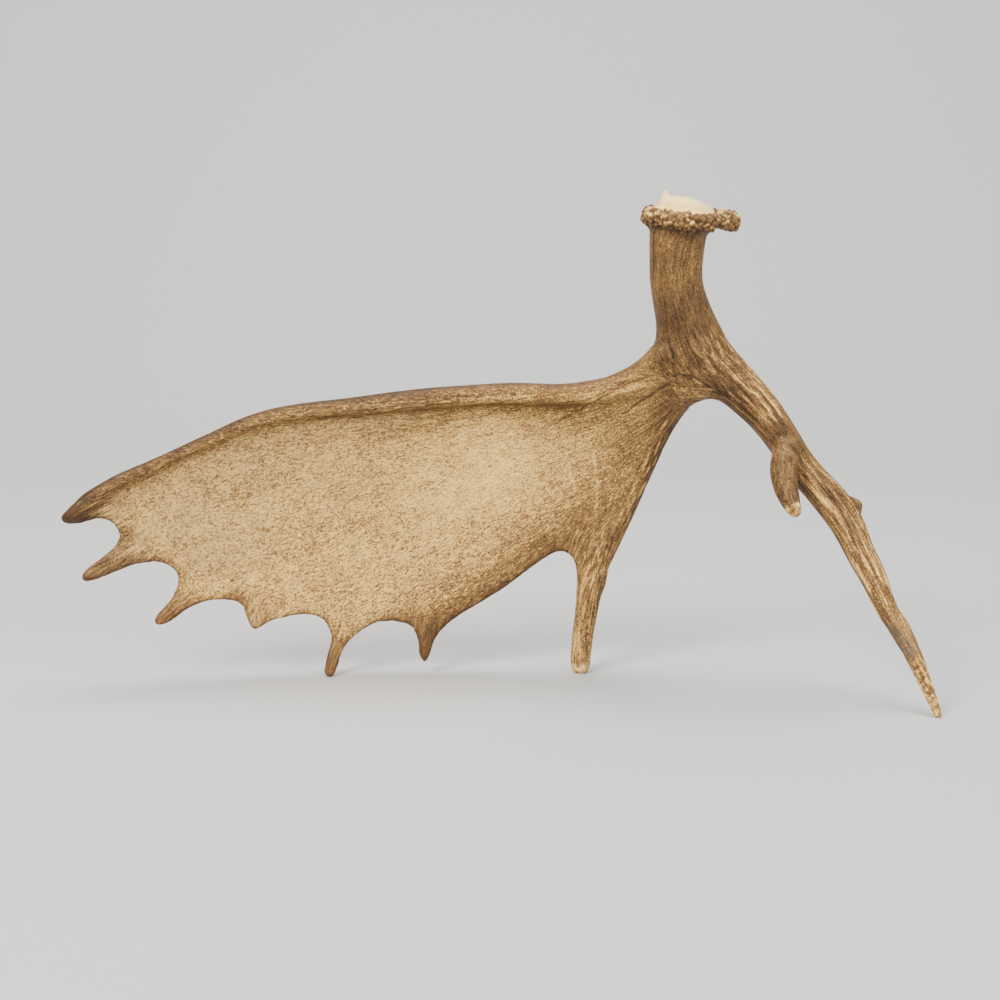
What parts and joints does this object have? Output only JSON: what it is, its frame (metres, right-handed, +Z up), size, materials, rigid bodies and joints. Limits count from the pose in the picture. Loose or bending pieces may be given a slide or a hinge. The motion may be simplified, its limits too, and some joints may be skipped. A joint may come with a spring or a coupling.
{
  "type": "moose antler",
  "caption": "Shed moose antler, dished palm with short points, a brow tine with a small prong, burr on top; stands on three points.",
  "frame": {"origin": "on the surface the antler stands on, under the middle of its bounding box", "axes": "+Z up, +X from the end of the palm towards the brow tine, +Y away from the hollow face of the palm"},
  "size_m": [0.7168, 0.173, 0.4159],
  "materials": {
    "beam_bone": "brown grooved antler bone, satin, with a pale rough seal",
    "palm_bone": "pale tan antler bone with fine radiating fibres, matte",
    "inner_tine_bone": "brown pitted antler bone, satin, worn pale at the end",
    "brow_tine_bone": "dark brown antler bone with light lengthwise ridges, satin, worn pale at the end",
    "brow_prong_bone": "golden brown antler bone, satin"
  },
  "bodies": {
    "root": {"beam": "beam_bone", "palm": "palm_bone", "inner_tine": "inner_tine_bone", "brow_tine": "brow_tine_bone", "brow_prong": "brow_prong_bone"}
  },
  "joints": []
}
